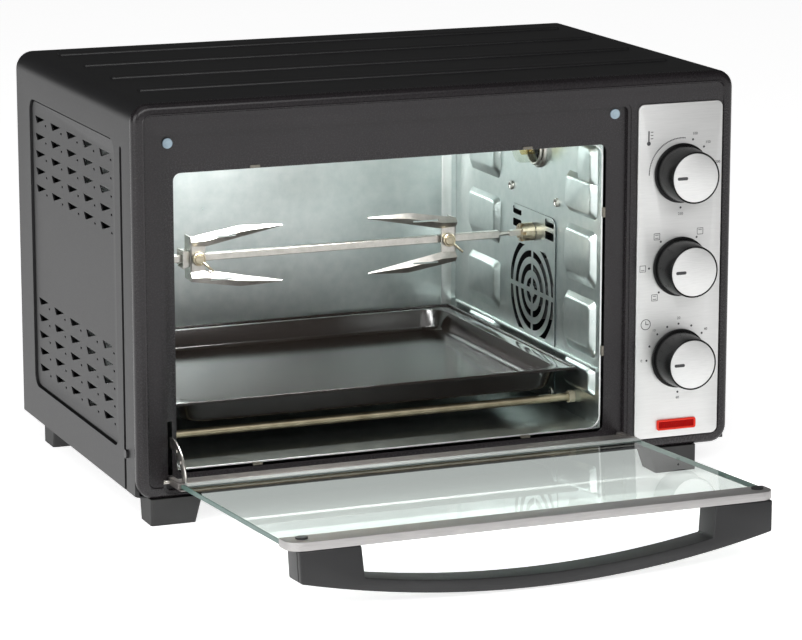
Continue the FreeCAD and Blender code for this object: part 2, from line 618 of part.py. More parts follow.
# Put the origin in the middle of the footprint, on the surface under the feet, and write
whole = Part.makeCompound(list(parts.values())).BoundBox
shift = Vector(-(whole.XMin + whole.XMax) / 2, -(whole.YMin + whole.YMax) / 2, -whole.ZMin)
for name, solid in parts.items():
    placed = solid.copy()
    placed.translate(shift)
    placed.exportStep(f"parts/{name}.step")
print(len(parts), "nodes; shift", [round(value, 4) for value in shift])
print("hinge", [round(value, 4) for value in Vector(0, HINGE_Y, HINGE_Z) + shift])
print("spit", [round(value, 4) for value in Vector(0, SPIT_Y, SPIT_Z) + shift])
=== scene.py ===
import json
import math
import bmesh
import bpy
from mathutils import Matrix, Vector


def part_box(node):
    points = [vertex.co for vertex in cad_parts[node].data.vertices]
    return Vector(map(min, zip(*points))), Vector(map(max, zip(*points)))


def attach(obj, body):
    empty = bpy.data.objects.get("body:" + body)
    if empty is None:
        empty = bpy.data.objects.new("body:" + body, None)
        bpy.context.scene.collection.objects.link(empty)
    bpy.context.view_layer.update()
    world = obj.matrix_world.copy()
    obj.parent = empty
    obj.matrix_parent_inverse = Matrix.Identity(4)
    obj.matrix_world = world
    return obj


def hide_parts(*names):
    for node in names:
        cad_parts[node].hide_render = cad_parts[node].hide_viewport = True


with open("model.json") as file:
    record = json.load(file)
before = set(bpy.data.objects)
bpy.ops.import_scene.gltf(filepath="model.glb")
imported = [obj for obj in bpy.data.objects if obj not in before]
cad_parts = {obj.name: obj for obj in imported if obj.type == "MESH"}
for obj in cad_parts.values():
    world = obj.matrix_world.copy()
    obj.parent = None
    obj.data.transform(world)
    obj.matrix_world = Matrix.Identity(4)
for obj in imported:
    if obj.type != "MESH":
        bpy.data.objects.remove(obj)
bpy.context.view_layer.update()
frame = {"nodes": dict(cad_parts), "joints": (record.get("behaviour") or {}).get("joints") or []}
nodes = frame["nodes"]

# Sizes are in millimetres from the casing's left side, front seam and underside,
# as a workshop drawing gives them. These two corners place that drawing in the frame.
MM = 0.001
left_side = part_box("front_frame")[0].x
front_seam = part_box("front_frame")[1].y
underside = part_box("front_frame")[0].z + 1.4 * MM


def place(x, y, z):
    return Vector((left_side + x * MM, front_seam + y * MM, underside + z * MM))

UNITS = {"x": Vector((1, 0, 0)), "y": Vector((0, 1, 0)), "z": Vector((0, 0, 1))}
TURNS = {"x": (0, math.pi / 2, 0), "y": (math.pi / 2, 0, 0), "z": (0, 0, 0)}


# Casing wrap.
# One sheet of steel folded over the sides and top, with louvred pockets pressed in its
# sides and four ribs in its top. It is powder coated satin black after pressing.
def only(piece):
    bpy.ops.object.select_all(action="DESELECT")
    piece.select_set(True)
    bpy.context.view_layer.objects.active = piece


def settled(name):
    """The object just made, named, with its place, turn and size moved into its mesh."""
    piece = bpy.context.active_object
    piece.name = name
    only(piece)
    bpy.ops.object.transform_apply(location=True, rotation=True, scale=True)
    return piece

def cuboid(name, x, y, z):
    """A box between limits on each axis."""
    low, high = place(x[0], y[0], z[0]), place(x[1], y[1], z[1])
    bpy.ops.mesh.primitive_cube_add(size=1, location=(low + high) / 2)
    bpy.context.active_object.scale = high - low
    return settled(name)


def tube(name, axis, start, length, radius, sides=48):
    """A round bar from a start point along an axis."""
    middle = place(*start) + UNITS[axis] * length * MM / 2
    bpy.ops.mesh.primitive_cylinder_add(vertices=sides, radius=radius * MM, depth=abs(length) * MM,
                                        location=middle, rotation=TURNS[axis])
    return settled(name)

def wire_ring(axis, centre, radius, wire, around, across):
    """A ring of round wire that faces along an axis."""
    bpy.ops.mesh.primitive_torus_add(major_radius=radius * MM, minor_radius=wire * MM, major_segments=around,
                                     minor_segments=across, location=place(*centre), rotation=TURNS[axis])
    return settled("ring")


def pick(piece, kind, test):
    """Enter edit mode with only the edges or faces that pass a test selected."""
    only(piece)
    bpy.ops.object.mode_set(mode="EDIT")
    bpy.ops.mesh.select_mode(type={"faces": "FACE", "edges": "EDGE", "verts": "VERT"}[kind])
    bpy.ops.mesh.select_all(action="DESELECT")
    mesh = bmesh.from_edit_mesh(piece.data)
    for item in getattr(mesh, kind):
        item.select_set(bool(test(item)))
    mesh.select_flush_mode()
    bmesh.update_edit_mesh(piece.data)


def leave():
    bpy.ops.object.mode_set(mode="OBJECT")


def inset(*steps):
    """Inset the selected faces in turn; each step is a width and a rise, in millimetres."""
    for width, lift in steps:
        bpy.ops.mesh.inset(thickness=width * MM, depth=lift * MM)

def outward(piece):
    """Turn every face of a piece to look out."""
    pick(piece, "faces", lambda face: True)
    bpy.ops.mesh.normals_make_consistent(inside=False)
    leave()

def direction(edge):
    return (edge.verts[1].co - edge.verts[0].co).normalized()


def along(axis):
    return lambda edge: abs(direction(edge).dot(UNITS[axis])) > 0.999

def facing(axis, sign):
    """A test for faces that look along an axis, or against it."""
    return lambda face: sign * face.normal.dot(UNITS[axis]) > 0.999

def all_at(axis, level):
    """A test for edges that lie wholly at one level on an axis."""
    return lambda edge: all(abs(vertex.co.dot(UNITS[axis]) - level) < 1e-5 for vertex in edge.verts)


def round_edges(piece, test, radius, segments=4):
    pick(piece, "edges", test)
    bpy.ops.mesh.bevel(offset=radius * MM, offset_type="OFFSET", segments=segments, affect="EDGES")
    leave()


def apply_modifier(piece, kind, **settings):
    modifier = piece.modifiers.new(kind.title(), kind)
    for key, value in settings.items():
        setattr(modifier, key, value)
    only(piece)
    bpy.ops.object.modifier_apply(modifier=modifier.name)


def soften(piece, radius, segments=2, angle=35):
    """A small radius on every sharp edge, as pressing and paint leave it."""
    apply_modifier(piece, "BEVEL", width=radius * MM, segments=segments, limit_method="ANGLE",
                   angle_limit=math.radians(angle), harden_normals=False)


def joined(name, pieces):
    bpy.ops.object.select_all(action="DESELECT")
    for piece in pieces:
        piece.select_set(True)
    bpy.context.view_layer.objects.active = pieces[0]
    if len(pieces) > 1:
        bpy.ops.object.join()
    pieces[0].name = name
    return pieces[0]


def cut(piece, tools, operation="DIFFERENCE"):
    """Take tools away from a piece, or add them to it, and remove the tools."""
    for tool in tools:
        apply_modifier(piece, "BOOLEAN", operation=operation, object=tool, solver="EXACT")
        bpy.data.meshes.remove(tool.data)


def finish_piece(piece, body, material, replaces=(), smooth=30):
    only(piece)
    bpy.ops.object.shade_smooth_by_angle(angle=math.radians(smooth))
    piece.data.materials.clear()
    piece.data.materials.append(material)
    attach(piece, body)
    if replaces:
        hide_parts(*replaces)
    return piece


def hex_colour(text):
    """An sRGB hex value as linear red, green, blue and 1."""
    parts = [int(text[i:i + 2], 16) / 255 for i in (0, 2, 4)]
    linear = [p / 12.92 if p <= 0.04045 else ((p + 0.055) / 1.055) ** 2.4 for p in parts]
    return (*linear, 1.0)


def add_node(material, kind, links=(), **settings):
    """A node with its settings, and its inputs linked from other nodes' outputs."""
    node = material.node_tree.nodes.new(kind)
    for key, value in settings.items():
        if key in node.inputs:
            node.inputs[key].default_value = value
        else:
            setattr(node, key, value)
    for socket, (source, output) in dict(links).items():
        material.node_tree.links.new(source.outputs[output], node.inputs[socket])
    return node


def blend(material, source, dark, light, ends=(0.3, 0.7)):
    """A colour between two, led by another node's first output."""
    ramp = add_node(material, "ShaderNodeValToRGB", {"Fac": (source, 0)})
    for stop, end, colour in zip(ramp.color_ramp.elements, ends, (dark, light)):
        stop.position = end
        stop.color = hex_colour(colour)
    return ramp

def new_material(name):
    material = bpy.data.materials.new(name)
    material.use_nodes = True
    material.node_tree.nodes.clear()
    coordinates = add_node(material, "ShaderNodeTexCoord")
    return material, coordinates


def finish_material(material, shader):
    add_node(material, "ShaderNodeOutputMaterial", {"Surface": (shader, 0)})
    return material


def painted(name, dark, light, grain_mm, roughness, bump, gloss=0.5):
    """A matte coat with a fine orange-peel grain and a little change in its colour."""
    material, coordinates = new_material(name)
    grain = add_node(material, "ShaderNodeTexNoise", {"Vector": (coordinates, "Object")},
                     Scale=1000.0 / grain_mm, Detail=3.0, Roughness=0.6)
    cloud = add_node(material, "ShaderNodeTexNoise", {"Vector": (coordinates, "Object")}, Scale=14.0,
                     Detail=3.0)
    colour = blend(material, cloud, dark, light)
    sheen = add_node(material, "ShaderNodeMapRange", {"Value": (grain, 0)})
    sheen.inputs["To Min"].default_value = roughness - 0.04
    sheen.inputs["To Max"].default_value = roughness + 0.06
    normal = add_node(material, "ShaderNodeBump", {"Height": (grain, 0)}, Strength=bump, Distance=0.0002)
    shader = add_node(material, "ShaderNodeBsdfPrincipled",
                      {"Base Color": (colour, 0), "Roughness": (sheen, 0), "Normal": (normal, 0)})
    shader.inputs["Specular IOR Level"].default_value = gloss
    return finish_material(material, shader)


# Satin black powder coat: a soft broad sheen, its orange peel drawn at 1.2 mm so that it shows.
powder_coat = painted("satin_black_powder_coat", "1B1B1C", "202021", 1.2, 0.40, 0.10)

wrap = cuboid("casing_wrap", (0, 500), (0.3, 304.7), (0.2, 302.3))
round_edges(wrap, lambda e: along("y")(e) and e.verts[0].co.z > place(0, 0, 300).z, 14.0, 8)

hollow = cuboid("hollow", (3.4, 496.6), (-5, 303), (-5, 298.5))
round_edges(hollow, lambda e: along("y")(e) and e.verts[0].co.z > place(0, 0, 290).z, 11.0, 5)
back_way = cuboid("back_way", (12, 488), (290, 310), (-5, 288))
pockets = []
for side, inner in ((-4.0, 2.0), (504.0, 498.0)):
    pocket = cuboid("pocket", sorted((side, inner)), (40, 268), (30, 269))
    round_edges(pocket, along("x"), 10.0, 6)
    round_edges(pocket, all_at("x", place(inner, 0, 0).x), 1.6, 3)
    pockets.append(pocket)
borders = []
for side, inner in ((-4.0, 3.0), (504.0, 497.0)):
    border = cuboid("border", sorted((side, inner)), (39.6, 268.4), (29.6, 269.4))
    round_edges(border, along("x"), 10.4, 6)
    field = cuboid("field", sorted((side - 2, inner + 2)), (41.4, 266.6), (31.4, 267.6))
    round_edges(field, along("x"), 8.6, 6)
    cut(border, [field])
    borders.append(border)
grooves = []
for side, inner in ((-4.0, 1.6), (504.0, 498.4)):
    groove = cuboid("groove", sorted((side, inner)), (21.0, 26.0), (-8, 267))
    round_edges(groove, along("x"), 2.2, 3)
    grooves.append(groove)

LOUVRE_ROWS = [197 + row * 14.2 for row in range(5)] + [47 + row * 14.0 for row in range(5)]
LOUVRE_REARS = [258.5 - column * 43.7 for column in range(5)]
# Each opening is three-cornered: its lower edge is drawn in near its rear end.
slots_cut = []
for wall in ((-2, 6), (494, 502)):
    for rear in LOUVRE_REARS:
        for height in LOUVRE_ROWS:
            slot = cuboid("slot", wall, (rear - 27, rear), (height - 3, height + 2.4))
            lower = place(0, 0, height - 3).z
            for nearly, shift in ((rear - 27, 20.5), (rear, -4.5)):
                level = place(0, nearly, 0).y
                pick(slot, "verts", lambda v: abs(v.co.y - level) < 1e-5 and abs(v.co.z - lower) < 1e-5)
                bpy.ops.transform.translate(value=(0, shift * MM, 0))
                leave()
            slots_cut.append(slot)
            slots_cut.append(cuboid("nick", wall, (rear - 31, rear - 27.5), (height - 3, height - 1.4)))
cut(wrap, [hollow, back_way] + pockets + borders + grooves + [joined("slots", slots_cut)])

RIB_TOP = 304.2
ribs = []
for y0, y1 in ((56, 66), (126, 135), (199, 205), (266, 277)):
    rib = cuboid("rib", (27, 473), (y0, y1), (299, RIB_TOP))
    round_edges(rib, along("z"), 2.4, 4)
    round_edges(rib, all_at("z", place(0, 0, RIB_TOP).z), 1.7, 4)
    ribs.append(rib)
cut(wrap, ribs, "UNION")
finish_piece(wrap, "oven", powder_coat, ["outer_shell"])


# Rear cover, base pan, feet and casing screws.
# The cover and the pan are flat pressed sheets with the casing's coat. The feet are
# moulded in a hard black plastic, and the screws have black-oxide pan heads.
def dress(node, material, smooth=30):
    """Give a CAD piece its finish and smooth its rounded faces."""
    piece = nodes[node]
    piece.data.materials.clear()
    piece.data.materials.append(material)
    only(piece)
    bpy.ops.object.shade_smooth_by_angle(angle=math.radians(smooth))


# Moulded polypropylene: a fine spark-eroded grain, drawn at 0.9 mm, and a low sheen.
foot_plastic = painted("moulded_polypropylene", "232323", "2A2A2A", 0.9, 0.55, 0.12)
# Black oxide on steel: thin, dark and slightly oily.
black_oxide = painted("black_oxide_steel", "1C1C1D", "29292A", 2.0, 0.34, 0.05)
for name in ("rear_cover", "base_pan"):
    dress(name, powder_coat)
for end in ("front", "rear"):
    for side in ("left", "right"):
        dress(f"foot_{end}_{side}", foot_plastic)
dress("case_screws", black_oxide)
dress("handle_screws", black_oxide)


# Front bezel.
# A deep-drawn steel frame with a rolled outer edge, a shallow step inside it, the pocket
# that the door shuts into, and the way into the cavity. It has the casing's coat.
bezel_coat = painted("satin_bezel_coat", "1D1A1C", "232022", 1.2, 0.26, 0.03, 0.4)
bezel = cuboid("front_bezel", (0, 500), (-8, 0), (-1.4, 302.3))
round_edges(bezel, along("y"), 14.0, 8)
round_edges(bezel, all_at("y", place(0, -8, 0).y), 5.0, 4)
pick(bezel, "faces", facing("y", -1))
inset((2.4, 0.0), (0.5, 0.7), (0.7, 0.0), (0.7, -1.4))
leave()
pocket = cuboid("pocket", (22.9, 408), (-20, -1), (4, 278))
round_edges(pocket, along("y"), 4.0, 4)
step = cuboid("pocket_step", (20.4, 410.5), (-20, -6.4), (1.5, 280.5))
round_edges(step, along("y"), 5.5, 5)
mouth = cuboid("mouth", (33.4, 392), (-15, 5), (15.5, 248.0))
round_edges(mouth, along("y"), 5.8, 6)
stay_slot = cuboid("stay_slot", (26.2, 29.8), (-5, 5), (15, 57))
panel_seat = cuboid("panel_seat", (415.6, 490.6), (-20, -6.9), (6.8, 279.3))
round_edges(panel_seat, along("y"), 5.6, 4)
cut(bezel, [pocket, step, mouth, stay_slot, panel_seat])
soften(bezel, 0.9, 3, 50)
finish_piece(bezel, "oven", bezel_coat, ["front_frame"])

# Two nylon bumpers in the bezel's upper corners, which the door's trim shuts against.
# Each is a pale disc with a small dimple, pressed into its hole.
nylon = painted("natural_nylon", "8FA3B0", "A3B5C0", 1.5, 0.4, 0.05)
bumpers = []
for x, z in ((28.9, 271.3), (398.7, 271.8)):
    disc = tube("bumper", "y", (x, -1, z), -1.8, 4.0, 32)
    pick(disc, "faces", facing("y", -1))
    inset((1.5, 0), (0.5, -0.5))
    leave()
    soften(disc, 0.4, 2)
    bumpers.append(disc)
finish_piece(joined("door_bumpers", bumpers), "oven", nylon, ["frame_screws"])


# Cavity lining.
# Galvanised steel sheet, bent and spot welded: a wrap of floor, roof and back, two side
# walls with pressed pads that stiffen them, and a flange round the mouth.
def metal(name, dark, light, roughness, spread, spangle_mm, stretch=(1, 1, 1), bump=0.05):
    """Bare metal whose reflections are broken by its grain or its rolling marks."""
    material, coordinates = new_material(name)
    mapping = add_node(material, "ShaderNodeMapping", {"Vector": (coordinates, "Object")})
    mapping.inputs["Scale"].default_value = stretch
    grain = add_node(material, "ShaderNodeTexNoise", {"Vector": (mapping, 0)},
                     Scale=1000.0 / spangle_mm, Detail=4.0, Roughness=0.55)
    colour = blend(material, grain, dark, light)
    dull = add_node(material, "ShaderNodeMapRange", {"Value": (grain, 0)})
    dull.inputs["To Min"].default_value = roughness - spread
    dull.inputs["To Max"].default_value = roughness + spread
    normal = add_node(material, "ShaderNodeBump", {"Height": (grain, 0)}, Strength=bump, Distance=0.0003)
    shader = add_node(material, "ShaderNodeBsdfPrincipled",
                      {"Base Color": (colour, 0), "Roughness": (dull, 0), "Normal": (normal, 0)},
                      Metallic=1.0)
    return finish_material(material, shader)


# Galvanised sheet: a cool, faintly green zinc with spangle about 9 mm across, half mirror.
galvanised = metal("galvanised_sheet", "C9D3D1", "D6DDDB", 0.30, 0.05, 9.0, bump=0.04)
dress("liner_wrap", galvanised)

lip = cuboid("mouth_lip", (31.4, 390.0), (0.1, 1.0), (17.9, 249.0))
round_edges(lip, along("y"), 10.2, 6)
lip_way = cuboid("lip_way", (32.6, 388.7), (-1, 3), (19.2, 247.7))
round_edges(lip_way, along("y"), 9.0, 6)
cut(lip, [lip_way])
soften(lip, 0.2, 1, 50)
# The lip is a paler zinc than the lining: a painted highlight along its rolled edge.
lip_highlight_zinc = metal("rolled_zinc_edge", "E0E5E3", "EEF1EF", 0.38, 0.04, 6.0, bump=0.03)
finish_piece(lip, "oven", lip_highlight_zinc, ["cavity_flange"])

PAD_ROWS = {"rear": [(41.0, 66.4), (74.0, 117.0), (131.0, 172.0), (187.0, 246.0)],
            "front": [(41.0, 66.4), (72.0, 119.7), (128.0, 175.2), (184.5, 218.0)]}
PAD_COLUMNS = {"rear": (199.5, 264.0), "front": (8.5, 66.0)}


def pressed_pad(wall, inward, y, z):
    """A pad drawn out of a wall: a short slope above, a long one below, and round edges."""
    rise, above, beside = 4.6, 4.0, 5.0
    below = 9.0 if z[1] - z[0] > 35 else 4.0
    pad = cuboid("pad", sorted((wall - inward * 0.4, wall + inward * rise)), y, z)
    crown = place(wall + inward * rise, 0, 0).x
    pick(pad, "faces", facing("x", inward))
    centre = place(wall + inward * rise, sum(y) / 2, sum(z) / 2)
    shrink = (1, 1 - 2 * beside / (y[1] - y[0]), 1 - (above + below) / (z[1] - z[0]))
    bpy.ops.transform.resize(value=shrink, center_override=centre)
    bpy.ops.transform.translate(value=(0, 0, (below - above) / 2 * MM))
    leave()
    round_edges(pad, lambda e: abs(direction(e).x) > 0.3, 4.5, 4)
    round_edges(pad, all_at("x", crown), 1.6, 3)
    return pad


def cavity_wall(name, wall, inward, replaced, openings):
    sheet = cuboid(name, sorted((wall, wall - inward * 0.8)), (1.1, 296.8), (17.8, 266.8))
    cut(sheet, openings)
    pads = [pressed_pad(wall, inward, PAD_COLUMNS[column], row) for column in PAD_COLUMNS
            for row in PAD_ROWS[column]]
    pads.append(pressed_pad(wall, inward, (8.5, 43.0), (206.0, 246.0)))
    rail = cuboid("rail", sorted((wall - inward * 0.3, wall + inward * 2.2)), (4, 292), (63.0, 66.4))
    round_edges(rail, lambda e: abs(direction(e).y) > 0.9, 1.0, 3)
    return finish_piece(joined(name, [sheet, rail] + pads), "oven", galvanised, [replaced])


SPIT = (132.0, 155.0)
LAMP = (122.0, 228.0)
behind_cover = cuboid("behind_cover", (385, 395), (89, 176), (27, 168))
lamp_hole = tube("lamp_hole", "x", (380, *LAMP), 20, 12)
cavity_wall("right_cavity_wall", 389.4, -1, "liner_right_wall", [behind_cover, lamp_hole])
bearing_hole = tube("bearing_hole", "x", (20, *SPIT), 20, 5.0)
cavity_wall("left_cavity_wall", 32.0, 1, "liner_left_wall", [bearing_hole])

# The fan's cover is a flat slotted stamping over the fan and the spit's drive. Its edge
# faces are dark grey, partly bare sheared steel and partly painted shade for the gap round it.
# The cavity's rear corner folds carry strips of paler zinc, a painted highlight on the bends.
dress("fan_cover", galvanised)
# Edge faces of the cover: dark grey for bare sheared steel, and painted shade for the gap that outlines the
# cover.
edge_and_shade = metal("sheared_edge", "3C4446", "4A5355", 0.5, 0.05, 3.0, bump=0.02)
nodes["fan_cover"].data.materials.append(edge_and_shade)
for face in nodes["fan_cover"].data.polygons:
    face.material_index = int(abs(face.normal.x) < 0.9)
# Paler zinc strips on the rear corner folds: a painted highlight where the bends catch the light.
painted_highlight_zinc = metal("rubbed_zinc_fold", "E2E6E4", "EEF0EE", 0.34, 0.03, 30.0, bump=0.02)
folds = []
for x in ((375.5, 384.5), (37.0, 43.0)):
    fold = cuboid("fold", x, (294.6, 295.9), (19.5, 265.5))
    soften(fold, 0.5, 3)
    folds.append(fold)
finish_piece(joined("rear_corner_folds", folds), "oven", painted_highlight_zinc)


# Bright small parts: the spit's hardware, shafts, pins, springs and wall screws.
# Their plating is smooth and pale, a little blurred where it was handled. The spit's
# socket is tarnished, and the clips that hold the lining's flange are dull zinc.
bright_plate = metal("bright_nickel_plate", "ADAAA4", "C2BFB9", 0.30, 0.05, 6.0, bump=0.02)
dull_brass = metal("tarnished_brass", "ABA08A", "C4BAA4", 0.3, 0.06, 5.0, bump=0.05)
for name in ("stay_spring", "spit_rod", "spit_bearing", "hinge_pins", "thermostat_shaft",
             "function_shaft", "timer_shaft", "control_bracket"):
    dress(name, bright_plate)
dress("drive_socket", dull_brass)
dull_zinc = metal("dull_zinc_clip", "6E6A62", "8A867C", 0.38, 0.06, 4.0, bump=0.05)
dress("mouth_clips", dull_zinc)

wall_screws = []
for y, z in ((176.0, 186.5), (85.0, 187.0), (92.0, 28.0), (172.0, 28.0)):
    head = tube("head", "x", (389.6, y, z), -2.4, 3.6, 24)
    pick(head, "faces", facing("x", -1))
    inset((1.6, 0), (0.4, -0.8))
    leave()
    soften(head, 0.5, 2)
    wall_screws.append(head)
finish_piece(joined("cavity_wall_screws", wall_screws), "oven", bright_plate)


# Spit forks.
# Each is pressed from plated strip: a broad web beside the spit, two tines folded along
# their middles to a ridge, and a hub plate with a square flared collar for the spit.
FORK_FACE = 124.5


def folded_tine(hub, reach, sign):
    """A tapering strip with a ridge along it, grown from a grid of three rows."""
    stations = [(0.0, 17.8, 11.0), (13.0, 19.9, 10.0), (41.4, 24.5, 15.5), (60.0, 23.9, 19.0),
                (77.0, 23.1, 22.4)]
    bpy.ops.mesh.primitive_grid_add(x_subdivisions=len(stations) - 1, y_subdivisions=2, size=2)
    tine = bpy.context.active_object
    order = sorted(tine.data.vertices, key=lambda v: (round(v.co.x, 4), round(v.co.y, 4)))
    for index, (reached, outer, inner) in enumerate(stations):
        ridge = 3.2 * (1 - reached / 90)
        rows = ((outer, 0.0), ((outer + inner) / 2, ridge), (inner, 0.0))
        for vertex, (across, lift) in zip(order[index * 3:index * 3 + 3], rows):
            vertex.co = place(hub + reach * reached, FORK_FACE - lift, SPIT[1] + sign * across)
    apply_modifier(tine, "SOLIDIFY", thickness=1.1 * MM, offset=0)
    slit = cuboid("slit", sorted((hub + reach * 16, hub + reach * 38)), (110, 140),
                  sorted((SPIT[1] + sign * 15.0, SPIT[1] + sign * 16.4)))
    slit.data.transform(Matrix.Translation((0, 0, sign * 1.6 * MM)))
    cut(tine, [slit])
    outward(tine)
    return tine


def make_fork(name, body, hub, reach, replaced):
    web = cuboid("web", sorted((hub, hub + reach * 12.5)), (FORK_FACE, FORK_FACE + 1.2),
                 (SPIT[1] - 17.8, SPIT[1] + 17.8))
    hub_plate = cuboid("hub_plate", sorted((hub, hub + reach * 1.2)), (FORK_FACE, FORK_FACE + 15),
                       (SPIT[1] - 17.8, SPIT[1] + 17.8))
    collar = cuboid("collar", sorted((hub, hub - 6.5)), (SPIT[0] - 6, SPIT[0] + 6),
                    (SPIT[1] - 6, SPIT[1] + 6))
    pick(collar, "faces", facing("x", -1))
    bpy.ops.transform.resize(value=(1, 1.25, 1.25), center_override=place(hub - 6.5, *SPIT))
    inset((1.0, 0), (2.6, -5.0))
    leave()
    for bored in (hub_plate, collar):
        cut(bored, [cuboid("way", (hub - 12, hub + 12), (SPIT[0] - 3.1, SPIT[0] + 3.1),
                           (SPIT[1] - 3.1, SPIT[1] + 3.1))])
    for plain in (web, hub_plate, collar):
        soften(plain, 0.25, 1)
    tines = [folded_tine(hub, reach, sign) for sign in (1, -1)]
    fork = joined(name, [web, hub_plate, collar] + tines)
    return finish_piece(fork, body, bright_plate, [replaced])


make_fork("left_fork", "fork_left", 88.5, 1, "spit_fork_left")
make_fork("right_fork", "fork_right", 316.5, -1, "spit_fork_right")


# Thumb screws.
# A short plated bolt with a wire bent round its head for a lever, tarnished by heat.
def thumb_screw(name, body, x, replaced):
    start = (x, FORK_FACE - 0.2, SPIT[1])
    head = tube("head", "y", start, -4.0, 3.8, 24)
    soften(head, 0.6, 2)
    shank = tube("shank", "y", (x, 129.0, SPIT[1]), -5.0, 1.9, 16)
    soften(shank, 0.2, 1)
    ring = wire_ring("y", (x, FORK_FACE - 2.6, SPIT[1]), 4.6, 0.95, 32, 10)
    lever = tube("lever", "x", (x + 3.0, FORK_FACE - 2.8, SPIT[1]), 13.0, 1.0, 14)
    soften(lever, 0.45, 2)
    pivot = place(x, FORK_FACE - 2.8, SPIT[1])
    lever.data.transform(Matrix.Translation(pivot) @ Matrix.Rotation(math.radians(42), 4, "Y")
                         @ Matrix.Translation(-pivot))
    screw = joined(name, [head, shank, ring, lever])
    return finish_piece(screw, body, dull_brass, [replaced])


thumb_screw("left_thumb_screw", "screw_left", 95.0, "fork_screw_left")
thumb_screw("right_thumb_screw", "screw_right", 310.0, "fork_screw_right")


# Oven lamp.
# A pressed heat-proof glass cap over a small bulb, screwed into a bright collar. Two
# bright rings stand round the foot of the cap.
def clear_glass(name, tint, roughness):
    """Clear glass that mirrors at its surface and lets light straight through."""
    material, coordinates = new_material(name)
    ripple = add_node(material, "ShaderNodeTexNoise", {"Vector": (coordinates, "Object")}, Scale=6.0,
                      Detail=1.0)
    normal = add_node(material, "ShaderNodeBump", {"Height": (ripple, 0)}, Strength=0.02, Distance=0.0005)
    through = add_node(material, "ShaderNodeBsdfTransparent", Color=hex_colour(tint))
    mirror = add_node(material, "ShaderNodeBsdfGlossy", {"Normal": (normal, 0)}, Roughness=roughness)
    fresnel = add_node(material, "ShaderNodeFresnel", {"Normal": (normal, 0)}, IOR=1.52)
    side = add_node(material, "ShaderNodeNewGeometry")
    outside = add_node(material, "ShaderNodeMath", {1: (side, "Backfacing")}, operation="SUBTRACT")
    outside.inputs[0].default_value = 1.0
    share = add_node(material, "ShaderNodeMath", {0: (fresnel, 0), 1: (outside, 0)}, operation="MULTIPLY")
    both = add_node(material, "ShaderNodeMixShader", {0: (share, 0), 1: (through, 0), 2: (mirror, 0)})
    return finish_material(material, both)


lamp_cap_glass = clear_glass("pressed_borosilicate_glass", "F0F2EC", 0.06)
cap = tube("lamp_cap", "x", (389.2, *LAMP), -20, 13, 48)
soften(cap, 4.0, 5, 50)
finish_piece(cap, "oven", lamp_cap_glass, ["lamp_glass"])
rings = []
for radius, wire, out in ((16.0, 1.8, 1.0), (14.4, 1.2, 4.4)):
    rings.append(wire_ring("x", (389.2 - out, *LAMP), radius, wire, 64, 12))
finish_piece(joined("lamp_collar_rings", rings), "oven", bright_plate, ["lamp_collar"])
warm_glass = clear_glass("clear_bulb_glass", "F6E7BE", 0.05)
dress("lamp_bulb", warm_glass)


# Heaters.
# Steel tubes packed round a wire, which heat has coloured a dull straw, in ceramic ends.
straw_steel = metal("heat_tinted_steel", "A2967C", "BFB499", 0.42, 0.06, 14.0, bump=0.05)
ceramic = painted("unglazed_ceramic", "A39C86", "B2AB94", 1.2, 0.6, 0.1)
dress("lower_heaters", straw_steel)
dress("upper_heaters", straw_steel)
dress("heater_insulators", ceramic)


# Baking tray.
# Pressed steel with a glossy black vitreous enamel, a broad flange all round and a rolled
# lip at the flange's edge. Its corners are drawn to a large radius inside the flange.
def enamelled(name, dark, light):
    material, coordinates = new_material(name)
    flow = add_node(material, "ShaderNodeTexNoise", {"Vector": (coordinates, "Object")}, Scale=55.0,
                    Detail=2.0)
    colour = blend(material, flow, dark, light, (0.0, 1.0))
    normal = add_node(material, "ShaderNodeBump", {"Height": (flow, 0)}, Strength=0.05, Distance=0.0006)
    shader = add_node(material, "ShaderNodeBsdfPrincipled",
                      {"Base Color": (colour, 0), "Normal": (normal, 0)},
                      Roughness=0.16, IOR=1.38)
    return finish_material(material, shader)


enamel = enamelled("black_vitreous_enamel", "15110F", "1D1815")
TRAY_X, TRAY_Y, TRAY_RIM, TRAY_DEPTH = (39.2, 382.2), (28.0, 293.0), 61.5, 18.0


def tray_bowl(grow, floor, top):
    """A rounded, drawn-in basin; grow is how far its sides stand inside the flange."""
    x = (TRAY_X[0] + grow[0], TRAY_X[1] - grow[0])
    y = (TRAY_Y[0] + grow[1], TRAY_Y[1] - grow[1])
    bowl = cuboid("bowl", x, y, (floor, top))
    round_edges(bowl, along("z"), 19.0, 8)
    low = place(0, 0, floor).z
    pick(bowl, "faces", facing("z", -1))
    shrink = (1 - 11.0 / (x[1] - x[0]), 1 - 11.0 / (y[1] - y[0]), 1)
    bpy.ops.transform.resize(value=shrink, center_override=place(sum(x) / 2, sum(y) / 2, floor))
    leave()
    round_edges(bowl, all_at("z", low), 3.5, 4)
    return bowl


flange = cuboid("enamel_tray", TRAY_X, TRAY_Y, (TRAY_RIM - 0.9, TRAY_RIM))
round_edges(flange, along("z"), 3.0, 4)
cut(flange, [tray_bowl((10.0, 6.0), TRAY_RIM - TRAY_DEPTH, TRAY_RIM - 0.1)], "UNION")
cut(flange, [tray_bowl((10.9, 6.9), TRAY_RIM - TRAY_DEPTH + 0.9, TRAY_RIM + 12.0)])
soften(flange, 0.3, 2, 60)
lips = [flange]
for y in TRAY_Y:
    inner = y + (1.0 if y == TRAY_Y[0] else -1.0)
    lips.append(tube("lip", "x", (TRAY_X[0] + 1, inner, TRAY_RIM + 0.3), TRAY_X[1] - TRAY_X[0] - 2, 1.2, 14))
for x in TRAY_X:
    inner = x + (1.0 if x == TRAY_X[0] else -1.0)
    lips.append(tube("lip", "y", (inner, TRAY_Y[0] + 1, TRAY_RIM + 0.3), TRAY_Y[1] - TRAY_Y[0] - 2, 1.2, 14))
finish_piece(joined("enamel_tray", lips), "tray", enamel, ["baking_tray"])


